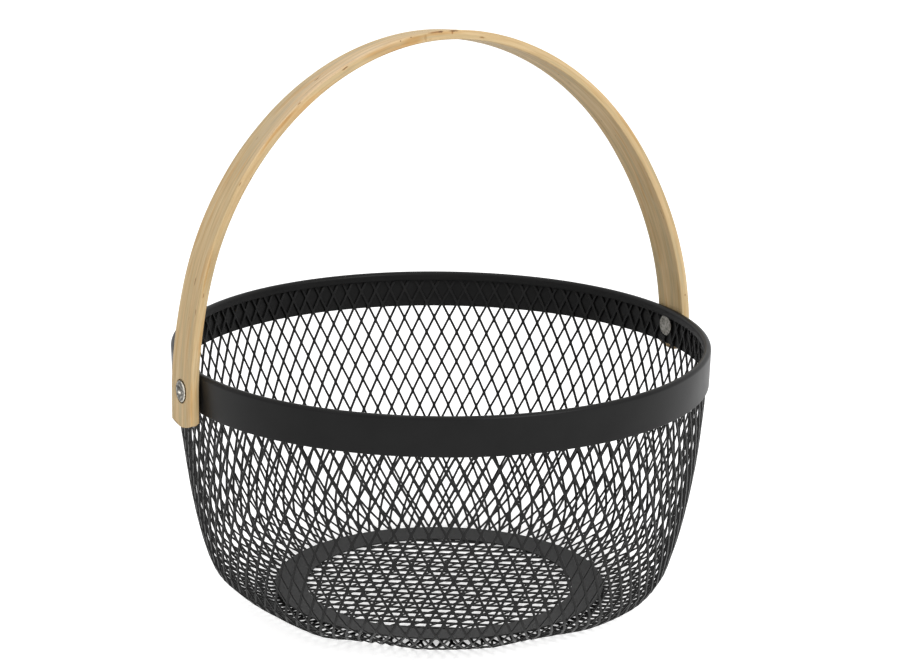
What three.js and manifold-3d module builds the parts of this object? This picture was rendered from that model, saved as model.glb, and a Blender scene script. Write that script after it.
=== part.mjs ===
// A round storage basket: a bowl of black expanded-steel mesh, hemmed into a flat rim band at the top
// and closed at the bottom by a mesh disc under a flat ring, with a bent wood handle on two rivets.
// Lengths are in millimetres. +Z is up, +X runs along the rivets and z = 0 is the surface it stands on.
import * as THREE from "three";
import { mergeGeometries, mergeVertices } from "three/addons/utils/BufferGeometryUtils.js";
import Module from "manifold-3d";

const wasm = await Module();
wasm.setup();

// Fits
const seatGap = 0.3; // between two pieces that lie against each other
const holeGap = 0.3; // all round a shank in its hole
const swingGap = 0.5; // between the rim band and the strip that swings past it
const headGap = 0.3; // all round a rivet head in its recess or in the mesh

// Rim band, one strip of sheet with its top edge rolled inward and down over the mesh
const rimRadius = 107.5; // outside of the hem
const bodyHeight = 105; // floor to the top of the hem
const bandHeight = 15.5;
const bandSheet = 0.7;
const bandTaper = 0.4; // the band's lower edge lies this far inside its top
const hemWidth = 3; // across the rolled top, from outside to inside
const hemLeg = 2.1; // straight part of the hem below the roll

// Wall mesh, formed as a bowl from one sheet
const meshSheet = 0.8;
const meshReach = 13.7; // how far the mesh runs up inside the band
const footLap = 4.5; // how far the flat foot reaches in under the base disc
const footMargin = 3.5; // and how far out past the disc, to where it turns up
const shoulderRadius = 92.6; // where the round bottom corner meets the flank
const shoulderHeight = 16;
const cornerPull = new THREE.Vector2(88.5, 6); // the corner's control point, radius and height
const flankPull = new THREE.Vector2(100.6, 40); // the flank's control point, radius and height
const netColumns = 24; // diamonds round the wall, a coarse net in place of the real one's 100
const netRows = 8; // half rows of diamonds from the foot to the band
const netStrand = 4; // strand of the coarse net

// Base disc, a flat diamond mesh, and the ring that holds it down on the wall's foot
const discRadius = 65.5;
const openLap = 2.1; // how far the open diamonds run on under the ring
const diamondLength = 12.8;
const diamondWidth = 6;
const strandWidth = 0.95;
const diamondTurn = -7.5; // degrees from +X to the diamonds' long axis
const ringLip = 0.5; // the ring's outer edge stands this far out past the disc's
const ringWidth = 12.1;
const ringSheet = 0.8;

// Rivets
const pivotDrop = 7.7; // top of the hem down to the rivets' axis
const shankRadius = 2;
const headRadius = 4.2;
const innerHeadThickness = 0.9;
const outerHeadThickness = 1;
const dishDepth = 0.45; // hollow in the outer head
const lipWidth = 0.7; // rolled lip round that hollow

// Handle, one bent strip of wood
const stripWidth = 17.2;
const stripThickness = 3.6;
const archRise = 128.2; // pivot axis to the middle of the strip at the top
const archPower = 1.97; // 2 is an ellipse
const leftTail = 13.8; // pivot axis to the strip's end on the -X side
const rightTail = 9.7; // and on the +X side, which is cut off shorter
const tailBow = 2; // the ends are cut to a shallow curve this deep
const edgeRound = 0.5;
const recessDepth = 0.9; // seat for the outer rivet head
const handleLean = 2.8; // degrees that the handle stands back from upright, toward +Y

// Steps of round shapes
const bowlSteps = 80;
const archSteps = 64;
const rivetSteps = 28;
const bowSteps = 8;
const hemSteps = 6;

// Places worked out from the sizes above
const bandBottom = bodyHeight - bandHeight;
const pivotHeight = bodyHeight - pivotDrop;
const hemRadius = hemWidth / 2;
const hemCentreHeight = bodyHeight - hemRadius;
const bandBottomRadius = rimRadius - bandTaper;
const bandSlope = bandTaper / (hemCentreHeight - bandBottom);
const bandOuterAt = (height) => rimRadius - bandSlope * (hemCentreHeight - height);
const footInner = discRadius - footLap;
const footOuter = discRadius + footMargin;
const ringOuter = discRadius + ringLip;
const ringInner = ringOuter - ringWidth;
const discOpenRadius = ringInner + openLap;
const discBottom = meshSheet + seatGap;
const ringBottom = discBottom + meshSheet + seatGap;
const stripInner = rimRadius + swingGap; // inner face of the strip at the pivots
const stripOuter = stripInner + stripThickness;
const archHalfWidth = stripInner + stripThickness / 2;

const materials = {
  black: new THREE.MeshStandardMaterial({ color: 0x232323, roughness: 0.5, metalness: 0.1 }),
  ring: new THREE.MeshStandardMaterial({ color: 0x303030, roughness: 0.55, metalness: 0.1 }),
  steel: new THREE.MeshStandardMaterial({ color: 0xa3a39e, roughness: 0.35, metalness: 1 }),
  wood: new THREE.MeshStandardMaterial({ color: 0xc9ab76, roughness: 0.6, metalness: 0 }),
};

// A closed geometry as a manifold-3d solid, for joins and cuts.
function solid(geometry) {
  const bare = geometry.clone().deleteAttribute("normal").deleteAttribute("uv");
  const merged = mergeVertices(bare, 1e-4);
  const mesh = new wasm.Mesh({
    numProp: 3,
    vertProperties: merged.attributes.position.array,
    triVerts: new Uint32Array(merged.index.array),
  });
  return new wasm.Manifold(mesh);
}

// A manifold-3d solid back as a three.js geometry with flat faces.
function geometryOf(body) {
  const mesh = body.getMesh();
  const geometry = new THREE.BufferGeometry();
  geometry.setAttribute("position", new THREE.BufferAttribute(mesh.vertProperties, 3));
  geometry.setIndex(new THREE.BufferAttribute(mesh.triVerts, 1));
  const flat = geometry.toNonIndexed();
  flat.computeVertexNormals();
  return flat;
}

// A closed outline of [radius, height] points turned round the Z axis.
function turned(outline, steps) {
  const closed = [...outline, outline[0]];
  return new THREE.LatheGeometry(closed, steps).rotateX(Math.PI / 2);
}

// Points on an arc in the radius and height plane, from one angle to another in degrees.
function arcPoints(centre, radius, fromAngle, toAngle, steps) {
  const points = [];
  for (let i = 0; i <= steps; i++) {
    const angle = THREE.MathUtils.degToRad(fromAngle + ((toAngle - fromAngle) * i) / steps);
    points.push(new THREE.Vector2(radius * Math.cos(angle), radius * Math.sin(angle)).add(centre));
  }
  return points;
}

// A path moved sideways by a distance, to its left as it runs.
function offsetPath(points, distance) {
  return points.map((point, i) => {
    const before = points[Math.max(i - 1, 0)];
    const after = points[Math.min(i + 1, points.length - 1)];
    const along = after.clone().sub(before).normalize();
    return new THREE.Vector2(point.x - along.y * distance, point.y + along.x * distance);
  });
}

// A cylinder along X from one x to another, round the pivot axis at a height.
function pivotCylinder(radius, fromX, toX, height) {
  return solid(
    new THREE.CylinderGeometry(radius, radius, toX - fromX, rivetSteps)
      .rotateZ(Math.PI / 2)
      .translate((fromX + toX) / 2, 0, height),
  );
}

// The two rivets mirror each other, so a round hole for the +X one is cut on both sides.
function cutBothSides(body, radius, fromX, toX, height) {
  const right = pivotCylinder(radius, fromX, toX, height);
  const left = pivotCylinder(radius, -toX, -fromX, height);
  return body.subtract(right).subtract(left);
}

// Rim band
function rimBand() {
  const hemCentre = new THREE.Vector2(rimRadius - hemRadius, hemCentreHeight);
  const outerRoll = arcPoints(hemCentre, hemRadius, 0, 180, hemSteps);
  const innerRoll = arcPoints(hemCentre, hemRadius - bandSheet, 180, 0, hemSteps);
  const legBottom = hemCentreHeight - hemLeg;
  const hemInside = rimRadius - hemWidth;
  const outline = [
    new THREE.Vector2(bandBottomRadius - bandSheet, bandBottom),
    new THREE.Vector2(bandBottomRadius, bandBottom),
    ...outerRoll,
    new THREE.Vector2(hemInside, legBottom),
    new THREE.Vector2(hemInside + bandSheet, legBottom),
    ...innerRoll,
  ];
  const band = solid(turned(outline, bowlSteps));
  const holeRadius = shankRadius + holeGap;
  const beyond = rimRadius + hemWidth;
  return geometryOf(cutBothSides(band, holeRadius, rimRadius - hemWidth, beyond, pivotHeight));
}

// The wall's line from its foot to the band, as radius and height on the sheet's outer face
function wallLine(topRadius) {
  const line = new THREE.Path();
  line.moveTo(footOuter, 0);
  line.quadraticCurveTo(cornerPull.x, cornerPull.y, shoulderRadius, shoulderHeight);
  line.quadraticCurveTo(flankPull.x, flankPull.y, topRadius, bandBottom);
  return line;
}

// A sheet bent round the Z axis. Its points come in pairs, one on the outer face and then one straight
// behind it on the inner face, and a face or edge is named by the numbers of the outer points.
class RoundSheet {
  positions = [];
  triangles = [];

  // A pair of points at a count of half columns round, from the outer one to the inner one.
  pair(column, outer, inner) {
    const turn = (Math.PI * column) / netColumns;
    for (const { x: radius, y: height } of [outer, inner]) {
      this.positions.push(radius * Math.cos(turn), radius * Math.sin(turn), height);
    }
    return this.positions.length / 3 - 2;
  }

  // A ring of pairs, one for each half column.
  ring(outer, inner) {
    return Array.from({ length: 2 * netColumns }, (_, column) => this.pair(column, outer, inner));
  }

  // The two faces over the same corners, which run counterclockwise as seen from outside.
  plate(...corners) {
    for (let i = 1; i < corners.length - 1; i++) {
      const [a, b, c] = [corners[0], corners[i], corners[i + 1]];
      this.triangles.push(a, b, c, a + 1, c + 1, b + 1);
    }
  }

  // The sheet's edge from one pair to the next, with the open side on its left as seen from outside.
  edge(from, to) {
    this.triangles.push(from, to, to + 1, from, to + 1, from + 1);
  }

  geometry() {
    const geometry = new THREE.BufferGeometry();
    geometry.setAttribute("position", new THREE.Float32BufferAttribute(this.positions, 3));
    geometry.setIndex(this.triangles);
    return geometry;
  }
}

// Wall mesh: one sheet with diamond gaps. A gap's column and row, in half steps, add up to an odd number.
function wallMesh() {
  const topRadius = bandOuterAt(bandBottom) - bandSheet - seatGap;
  const line = wallLine(topRadius);
  const halfLength = line.getLength() / netRows;
  const columns = 2 * netColumns;
  const border = netStrand / halfLength; // plain strand along the foot and the band, in half rows
  const sheet = new RoundSheet();

  function onLine(column, row, kind = "pair") {
    const outer = line.getPoint(row / netRows);
    const along = line.getTangent(row / netRows);
    const inner = new THREE.Vector2(outer.x - along.y * meshSheet, outer.y + along.x * meshSheet);
    return kind === "ring" ? sheet.ring(outer, inner) : sheet.pair(column, outer, inner);
  }

  const gaps = new Map();
  const gapAt = (column, row) => gaps.get(`${(column + columns) % columns} ${row}`);
  for (let row = 0; row <= netRows; row++) {
    const halfWidth = (Math.PI * line.getPoint(row / netRows).x) / netColumns;
    const inscribed = (halfWidth * halfLength) / Math.hypot(halfWidth, halfLength);
    const shrink = 1 - netStrand / 2 / inscribed;
    // The first and the last row's gaps are half ones that stop at the border.
    const lowest = Math.max(row - shrink, border);
    const highest = Math.min(row + shrink, netRows - border);
    const middle = THREE.MathUtils.clamp(row, lowest, highest);
    const side = shrink - Math.abs(middle - row);
    for (let column = (row + 1) % 2; column < columns; column += 2) {
      const right = onLine(column + side, middle);
      const top = onLine(column, highest);
      const left = onLine(column - side, middle);
      const bottom = onLine(column, lowest);
      gaps.set(`${column} ${row}`, { column, row, right, top, left, bottom });
      sheet.edge(right, top);
      sheet.edge(top, left);
      sheet.edge(left, bottom);
      sheet.edge(bottom, right);
    }
  }

  // Two strands run up from each gap, and a joint lies between four gaps.
  for (const { column, row, right, top, left } of gaps.values()) {
    const upRight = gapAt(column + 1, row + 1);
    const upLeft = gapAt(column - 1, row + 1);
    if (row < netRows) {
      sheet.plate(right, upRight.bottom, upRight.left, top);
      sheet.plate(top, upLeft.right, upLeft.bottom, left);
    }
    if (row > 0 && row < netRows) {
      const beside = gapAt(column + 2, row);
      const downRight = gapAt(column + 1, row - 1);
      sheet.plate(right, downRight.top, beside.left, upRight.bottom);
    }
  }

  // The plain sheet below and above the gaps, and on to the sheet's two edges
  const footRing = onLine(0, 0, "ring");
  const bandRing = onLine(0, netRows, "ring");
  const footEdge = sheet.ring(new THREE.Vector2(footInner, 0), new THREE.Vector2(footInner, meshSheet));
  const topHeight = bandBottom + meshReach;
  const topOuter = new THREE.Vector2(topRadius + bandSlope * meshReach, topHeight);
  const topEdge = sheet.ring(topOuter, new THREE.Vector2(topOuter.x - meshSheet, topHeight));
  for (let column = 0; column < columns; column++) {
    const next = (column + 1) % columns;
    const low = gapAt(column, 0);
    const high = gapAt(column, netRows);
    if (low) {
      sheet.plate(footRing[next], gapAt(next, 1).bottom, low.right, low.bottom, footRing[column]);
    } else {
      const nextLow = gapAt(next, 0);
      sheet.plate(footRing[column], footRing[next], nextLow.bottom, nextLow.left, gapAt(column, 1).bottom);
    }
    if (high) {
      sheet.plate(bandRing[next], bandRing[column], high.top, high.right, gapAt(next, netRows - 1).top);
    } else {
      const nextHigh = gapAt(next, netRows);
      const below = gapAt(column, netRows - 1);
      sheet.plate(bandRing[column], below.top, nextHigh.left, nextHigh.top, bandRing[next]);
    }
    sheet.plate(footEdge[column], footEdge[next], footRing[next], footRing[column]);
    sheet.plate(bandRing[column], bandRing[next], topEdge[next], topEdge[column]);
    sheet.edge(footEdge[next], footEdge[column]);
    sheet.edge(topEdge[column], topEdge[next]);
  }

  const holeRadius = headRadius + headGap;
  const net = solid(sheet.geometry());
  return geometryOf(cutBothSides(net, holeRadius, rimRadius - 2 * hemWidth, rimRadius, pivotHeight));
}

// A round plate round the Z axis, from its lower face up.
function roundPlate(radius, bottom, thickness) {
  return new THREE.CylinderGeometry(radius, radius, thickness, bowlSteps)
    .rotateX(Math.PI / 2)
    .translate(0, 0, bottom + thickness / 2);
}

// The gaps of a flat diamond mesh as upright bars, out to a radius
function diamondBars(radius, bottom, height) {
  const halfLength = diamondLength / 2;
  const halfWidth = diamondWidth / 2;
  // A gap is the diamond drawn in by half a strand on every side.
  const inscribed = (halfLength * halfWidth) / Math.hypot(halfLength, halfWidth);
  const shrink = 1 - strandWidth / 2 / inscribed;
  const gap = new THREE.Shape([
    new THREE.Vector2(halfLength * shrink, 0),
    new THREE.Vector2(0, halfWidth * shrink),
    new THREE.Vector2(-halfLength * shrink, 0),
    new THREE.Vector2(0, -halfWidth * shrink),
  ]);
  const bar = new THREE.ExtrudeGeometry(gap, { depth: height, bevelEnabled: false });
  const reach = Math.ceil(radius / halfWidth) + 1;
  const bars = [];
  for (let row = -reach; row <= reach; row++) {
    for (let column = -reach; column <= reach; column++) {
      const x = column * halfLength;
      const y = row * halfWidth;
      const inStep = (row + column) % 2 === 0;
      if (inStep && Math.hypot(x, y) < radius + halfLength) {
        bars.push(bar.clone().translate(x, y, bottom));
      }
    }
  }
  return mergeGeometries(bars).rotateZ(THREE.MathUtils.degToRad(diamondTurn));
}

// Base disc, with a plain margin that lies between the foot and the ring
function baseMesh() {
  const belowDisc = discBottom - meshSheet;
  const through = 3 * meshSheet;
  const open = solid(roundPlate(discOpenRadius, belowDisc, through));
  const holes = solid(diamondBars(discOpenRadius, belowDisc, through)).intersect(open);
  return geometryOf(solid(roundPlate(discRadius, discBottom, meshSheet)).subtract(holes));
}

// Base ring
function baseRing() {
  const outline = [
    new THREE.Vector2(ringInner, ringBottom),
    new THREE.Vector2(ringOuter, ringBottom),
    new THREE.Vector2(ringOuter, ringBottom + ringSheet),
    new THREE.Vector2(ringInner, ringBottom + ringSheet),
  ];
  return turned(outline, bowlSteps);
}

// A rivet on the +X side, seen along its own axis: flat head inside the band, shank, dished head outside
function rivet() {
  const bandInner = bandOuterAt(pivotHeight) - bandSheet;
  // A flat head stands off the curved band by the band's sagitta across the head, and by that of one step.
  const headSagitta = headRadius ** 2 / (2 * bandInner);
  const stepSagitta = bandInner * (1 - Math.cos(Math.PI / bowlSteps));
  const innerHeadFace = bandInner - seatGap - headSagitta - stepSagitta;
  const outerHeadSeat = stripOuter - recessDepth + seatGap;
  const outerHeadTop = outerHeadSeat + outerHeadThickness;
  const lipRadius = lipWidth / 2;
  const lipCentre = new THREE.Vector2(headRadius - lipRadius, outerHeadTop - lipRadius);
  const outline = [
    new THREE.Vector2(0, innerHeadFace - innerHeadThickness),
    new THREE.Vector2(headRadius, innerHeadFace - innerHeadThickness),
    new THREE.Vector2(headRadius, innerHeadFace),
    new THREE.Vector2(shankRadius, innerHeadFace),
    new THREE.Vector2(shankRadius, outerHeadSeat),
    new THREE.Vector2(headRadius, outerHeadSeat),
    ...arcPoints(lipCentre, lipRadius, 0, 180, hemSteps),
    new THREE.Vector2(shankRadius, outerHeadTop - dishDepth),
    new THREE.Vector2(0, outerHeadTop - dishDepth),
  ];
  return new THREE.LatheGeometry(outline, rivetSteps).rotateZ(-Math.PI / 2);
}

// All that lies above a tail's bowed end, as wide as the strip and more, between two places along X
function aboveTail(tailLength, fromX, toX) {
  const bowTop = tailBow - tailLength;
  const clear = 2 * archRise;
  const side = new THREE.Shape();
  side.moveTo(stripWidth, clear);
  side.lineTo(-stripWidth, clear);
  side.lineTo(-stripWidth, bowTop);
  side.lineTo(-stripWidth / 2, bowTop);
  side.absellipse(0, bowTop, stripWidth / 2, tailBow, Math.PI, 2 * Math.PI, false);
  side.lineTo(stripWidth, bowTop);
  const kept = new THREE.ExtrudeGeometry(side, {
    depth: toX - fromX,
    bevelEnabled: false,
    curveSegments: bowSteps,
  });
  return solid(kept.translate(0, 0, fromX).rotateX(Math.PI / 2).rotateZ(Math.PI / 2));
}

// Handle, round its pivot axis at the origin: an arch extruded across its width, cut to its bowed ends
function handle() {
  const centreLine = [new THREE.Vector2(archHalfWidth, -rightTail)];
  for (let i = 0; i <= archSteps; i++) {
    const angle = (Math.PI * i) / archSteps;
    const across = Math.abs(Math.cos(angle)) / archHalfWidth;
    const up = Math.abs(Math.sin(angle)) / archRise;
    const reach = (across ** archPower + up ** archPower) ** (-1 / archPower);
    centreLine.push(new THREE.Vector2(reach * Math.cos(angle), reach * Math.sin(angle)));
  }
  centreLine.push(new THREE.Vector2(-archHalfWidth, -leftTail));
  const outer = offsetPath(centreLine, -stripThickness / 2);
  const inner = offsetPath(centreLine, stripThickness / 2).reverse();
  const arch = new THREE.ExtrudeGeometry(new THREE.Shape([...outer, ...inner]), {
    depth: stripWidth - 2 * edgeRound,
    bevelThickness: edgeRound,
    bevelSize: edgeRound,
    bevelOffset: -edgeRound,
    bevelSegments: 1,
  });
  arch.translate(0, 0, edgeRound - stripWidth / 2).rotateX(Math.PI / 2);

  // The two sides' cuts share the middle, where no tail is.
  const shared = archHalfWidth / 2;
  const left = aboveTail(leftTail, -2 * archHalfWidth, shared);
  const right = aboveTail(rightTail, -shared, 2 * archHalfWidth);
  const strip = solid(arch).intersect(left.add(right));

  const beyond = stripOuter + stripThickness;
  const drilled = cutBothSides(strip, shankRadius + holeGap, stripInner - stripThickness, beyond, 0);
  return geometryOf(cutBothSides(drilled, headRadius + headGap, stripOuter - recessDepth, beyond, 0));
}

// The basket, piece by piece
const basket = new THREE.Group();

function addPiece(name, geometry, material, parent = basket) {
  const mesh = new THREE.Mesh(geometry, material);
  mesh.name = name;
  parent.add(mesh);
  return mesh;
}

addPiece("rim_band", rimBand(), materials.black);
addPiece("wall_mesh", wallMesh(), materials.black);
addPiece("base_mesh", baseMesh(), materials.black);
addPiece("base_ring", baseRing(), materials.ring);

const pivots = new THREE.Group();
pivots.position.z = pivotHeight;
basket.add(pivots);
addPiece("rivet_right", rivet(), materials.steel, pivots);
addPiece("rivet_left", rivet(), materials.steel, pivots).rotation.z = Math.PI;

const bail = addPiece("handle", handle(), materials.wood, pivots);
bail.rotation.x = -THREE.MathUtils.degToRad(handleLean);

export default basket;
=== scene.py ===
import math

import bmesh
import bpy
import numpy as np
from mathutils import Matrix, Vector, noise


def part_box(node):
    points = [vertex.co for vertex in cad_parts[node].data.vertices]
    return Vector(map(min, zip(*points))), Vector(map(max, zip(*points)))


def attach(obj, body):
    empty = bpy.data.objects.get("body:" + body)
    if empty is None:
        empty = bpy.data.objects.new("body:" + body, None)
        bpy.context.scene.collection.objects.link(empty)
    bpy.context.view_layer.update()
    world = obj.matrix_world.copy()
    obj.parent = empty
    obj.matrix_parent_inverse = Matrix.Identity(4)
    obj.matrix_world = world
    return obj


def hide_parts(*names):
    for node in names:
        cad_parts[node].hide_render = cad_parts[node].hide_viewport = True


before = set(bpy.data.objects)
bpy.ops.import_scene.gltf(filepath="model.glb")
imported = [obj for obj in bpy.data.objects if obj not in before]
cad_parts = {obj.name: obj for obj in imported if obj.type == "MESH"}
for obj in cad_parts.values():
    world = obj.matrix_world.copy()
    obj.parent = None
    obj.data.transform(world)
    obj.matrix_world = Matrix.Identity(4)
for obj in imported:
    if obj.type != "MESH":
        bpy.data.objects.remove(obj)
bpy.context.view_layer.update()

# Wall mesh
# One sheet of expanded steel, slit and drawn open into tall diamonds, then pressed into a bowl. Its foot
# is turned in flat under the base ring and its top edge is caught in the rim's hem. Black powder coat.
BOWL_COLUMNS = 100  # diamonds round the bowl, the same number at every height
WALL_STRAND = 0.00095
SHEET = 0.0006
COAT_EDGE = 0.00012  # what the coat eases each edge of a strand by
STRAND_TWIST = 0.00008  # slitting leaves one edge of each strand proud and the other sunk
SIDE_FLAT = 0.00033  # along each strand, where two of them join side by side
END_ROUND = 0.0002  # radius at a gap's sharp ends
JOINT_HEIGHT = 0.0783  # one row of joints, read from the photo
JOINT_AZIMUTH = math.radians(62.0)  # and one joint in it
SLIT_RADIUS = 0.1048  # at this radius the diamonds have the half length below
SLIT_HALF_LENGTH = 0.0064
# The bowl's outline, by radius: its flat foot, then a round corner up to the shoulder, and a steep flank.
# The shoulder, the top and the points that the two curves lean toward also have a height.
FOOT_INNER = 0.061
FOOT_OUTER = 0.069
CORNER_PULL = (0.0885, 0.006)
SHOULDER = (0.0926, 0.016)
FLANK_PULL = (0.1012, 0.0375)
WALL_TOP = (0.1061, 0.0895)
HEM_SLOPE = 0.0286  # the top of the wall leans out like the band
SHEET_TOP = 0.1029  # where the sheet ends, inside the hem
PAST_FOOT = 0.044  # the diamonds are laid out past the sheet's edges, and then cut at them
PAST_TOP = 0.114
HEAD_HOLE = 0.0045  # radius of the hole in the mesh round each rivet's flat head
GAP_POINTS = 10  # in each gap's outline


def bezier(start, pull, end, steps):
    """Points on a curve from start to end that leans toward pull."""
    t = np.linspace(0, 1, steps)[:, None]
    return (1 - t) ** 2 * np.array(start) + 2 * t * (1 - t) * np.array(pull) + t**2 * np.array(end)


class Profile:
    """A line of (radius, height) points that is read by the distance along it."""

    def __init__(self, points):
        self.points = np.array(points)
        steps = np.linalg.norm(np.diff(self.points, axis=0), axis=1)
        self.distance = np.concatenate([[0.0], np.cumsum(steps)])
        self.length = self.distance[-1]

    def at(self, s):
        """Radius and height at distance s."""
        return [np.interp(s, self.distance, self.points[:, k]) for k in (0, 1)]

    def outward(self, s, step=0.001):
        """The two parts of the outward normal at distance s."""
        ahead = self.at(s + step)
        behind = self.at(s - step)
        across, up = ahead[0] - behind[0], ahead[1] - behind[1]
        size = np.hypot(across, up)
        return up / size, -across / size


def mesh_object(name, points, faces):
    """A new object from points and faces, shaded smooth."""
    mesh = bpy.data.meshes.new(name)
    mesh.from_pydata([tuple(p) for p in points], [], faces)
    mesh.validate()
    mesh.shade_smooth()
    piece = bpy.data.objects.new(name, mesh)
    bpy.context.scene.collection.objects.link(piece)
    return piece


def gap_outline(half_width, half_length, inset):
    """Ten (across, along) points round a gap, from its right side on: a short flat at each side, where
    two strands lie together, a small round at each sharp end, and straight strands between."""
    side = math.hypot(half_width, half_length)
    share = 1 - inset * side / (half_width * half_length)
    lean_x, lean_y = half_width / side, half_length / side
    width, length = half_width * share, half_length * share
    flat_x, flat_y = width - SIDE_FLAT * lean_x, SIDE_FLAT * lean_y
    tangent = END_ROUND * lean_y / lean_x
    round_x, round_y = tangent * lean_x, length - tangent * lean_y
    tip = length - END_ROUND * (1 / lean_x - 1)
    right = [(flat_x, -flat_y), (flat_x, flat_y), (round_x, round_y)]
    left = [(-round_x, round_y), (-flat_x, flat_y), (-flat_x, -flat_y), (-round_x, -round_y)]
    return [*right, (0, tip), *left, (0, -tip), (round_x, -round_y)]


def diamond_sheet(name, gaps, place, half_width, half_length, strand, around=None):
    """Expanded metal: each gap is a diamond centred on whole numbers (i, j) with i + j odd, and four of
    them meet at a joint. place(u, v, out) puts the sheet's points in space."""
    levels = (
        (strand / 2 - COAT_EDGE, SHEET / 2),
        (strand / 2, SHEET / 2 - COAT_EDGE),
        (strand / 2, COAT_EDGE - SHEET / 2),
        (strand / 2 - COAT_EDGE, -SHEET / 2),
    )
    start = {}
    across, along, out = [], [], []
    for i, j in gaps:
        start[i, j] = len(across)
        a, b = half_width(j), half_length(j)
        for inset, level in levels:
            for x, y in gap_outline(a, b, inset):
                across.append(i + x / a)
                along.append(j + y / b)
                out.append(level - math.copysign(STRAND_TWIST, y))
    points = place(np.array(across), np.array(along), np.array(out))

    def cell(i, j):
        return (i % around, j) if around else (i, j)

    def next_to(i, j):
        """What lies right of, over, left of and under a gap or a joint."""
        return (i + 1, j), (i, j + 1), (i - 1, j), (i, j - 1)

    def is_joint(i, j):
        return all(cell(*gap) in start for gap in next_to(i, j))

    faces = []

    def plate(corners):
        """The sheet's outer and inner face over the same corners, each a gap and its point's number."""
        first = [start[cell(*gap)] + number for gap, number in corners]
        faces.append(first)
        faces.append([index + (len(levels) - 1) * GAP_POINTS for index in reversed(first)])

    def edge(first, second):
        """The sheet's edge between two points of its outer face, with the coat's easing."""
        for level in range(len(levels) - 1):
            outer, inner = level * GAP_POINTS, (level + 1) * GAP_POINTS
            faces.append([first + outer, second + outer, second + inner, first + inner])

    for i, j in gaps:
        here, above_right, above_left = (i, j), (i + 1, j + 1), (i - 1, j + 1)
        right, top, left, bottom = (is_joint(*at) for at in next_to(i, j))
        if right and top:
            plate([(here, 1), (above_right, 7), (above_right, 6), (here, 2)])
        if top and left:
            plate([(here, 4), (above_left, 0), (above_left, 9), (here, 5)])
        strands = [right and top, top and left, left and bottom, bottom and right]
        standing = [right, strands[0], top, top, strands[1], left, strands[2], bottom, bottom, strands[3]]
        first = start[i, j]
        for number, stands in enumerate(standing):
            if stands:
                edge(first + number, first + (number + 1) % GAP_POINTS)
        if not right:
            continue
        beside, below_right = (i + 2, j), (i + 1, j - 1)
        joint = [(beside, 6), (beside, 5), (above_right, 9), (above_right, 8), (above_right, 7)]
        joint += [(here, 1), (here, 0), (below_right, 4), (below_right, 3), (below_right, 2)]
        plate(joint)
        # Where no strand goes on from the joint, its end is closed.
        for (di, dj), slot in (((2, 1), 1), ((0, 1), 4), ((0, -1), 6), ((2, -1), 9)):
            if not is_joint(i + di, j + dj):
                corners = (joint[(slot + 1) % len(joint)], joint[slot])
                edge(*(start[cell(*gap)] + number for gap, number in corners))
    return mesh_object(name, points, faces)


def cut(piece, bars, operation="DIFFERENCE", sides=128):
    """Cuts round bars out of a piece, or keeps what lies in them. A bar is its radius and two ends."""
    body = bmesh.new()
    for radius, start, end in bars:
        axis = Vector(end) - Vector(start)
        made = bmesh.ops.create_cone(
            body, cap_ends=True, segments=sides, radius1=radius, radius2=radius, depth=axis.length
        )
        turn = axis.to_track_quat("Z", "Y").to_matrix().to_4x4()
        middle = Matrix.Translation((Vector(start) + Vector(end)) / 2)
        bmesh.ops.transform(body, matrix=middle @ turn, verts=made["verts"])
    cutter = mesh_object("cutter", [], [])
    body.to_mesh(cutter.data)
    body.free()
    modifier = piece.modifiers.new("cut", "BOOLEAN")
    modifier.operation = operation
    modifier.solver = "EXACT"
    modifier.object = cutter
    bpy.context.view_layer.objects.active = piece
    bpy.ops.object.modifier_apply(modifier=modifier.name)
    bpy.data.objects.remove(cutter)


def softened(piece):
    """Keeps broad faces flat in the light and lets only the narrow easings between them turn."""
    normals = piece.modifiers.new("flat faces", "WEIGHTED_NORMAL")
    normals.mode = "FACE_AREA_WITH_ANGLE"
    normals.weight = 100


outside = np.vstack(
    [
        [(PAST_FOOT, 0.0)],
        bezier((FOOT_OUTER, 0.0), CORNER_PULL, SHOULDER, steps=24),
        bezier(SHOULDER, FLANK_PULL, WALL_TOP, steps=40)[1:],
        [(WALL_TOP[0] + HEM_SLOPE * (PAST_TOP - WALL_TOP[1]), PAST_TOP)],
    ]
)
wall_line = Profile(outside)
# Hands have pressed the left side in by a millimetre, and the bowl below stands a little to the right.
PRESSED_IN = 0.0011
PRESS_AZIMUTH = math.radians(160.0)
PRESS_SHARPNESS = 4
BOWL_SHIFT = 0.0007
SHIFT_AZIMUTH = math.radians(-28.0)
SHIFT_FADE = 0.03  # over this height below the band
# Drawing the bowl made its columns creep round a little: how far, in mm, at angles round it. The creep
# grows from nothing at the lower of two heights to its full size at the upper one. The rows lie lower in
# front and on the left than at the back.
COLUMN_ANGLES = [-178, -118, -58, -5, 21, 50, 67, 76, 86, 97, 110, 126, 150]
COLUMN_CREEP = [-0.7, 0, 1.2, 0.2, 0.6, 0, -0.4, -1.1, -1.8, -2.1, -2.3, -2.4, -1.8]
CREEP_LOW, CREEP_HIGH = 0.022, 0.075
ROW_DROP = 0.0016
DROP_AZIMUTH = math.radians(-145.0)
# The sheet is also a little wavy, in its rows by a length and in its columns by an angle. Two waves cross
# in each: how often each one comes in a turn round the bowl, how fast up its profile, and its start.
ROW_RIPPLE, ROW_WAVES = 0.0003, ((3, 55, 0), (8, -90, 1))
COLUMN_RIPPLE, COLUMN_WAVES = 0.003, ((5, 70, 2), (2, -40, 0))
# The handle's right leg has pressed a shallow hollow into the back, where it comes to rest.
REST_HOLLOW = 0.0016  # its depth in the middle
REST_AZIMUTH = math.radians(38.0)
REST_SPREAD = math.radians(30.0)  # round the bowl, to each side of the middle
REST_HEIGHT = 0.038
REST_REACH = 0.028  # up and down from the middle
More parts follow.
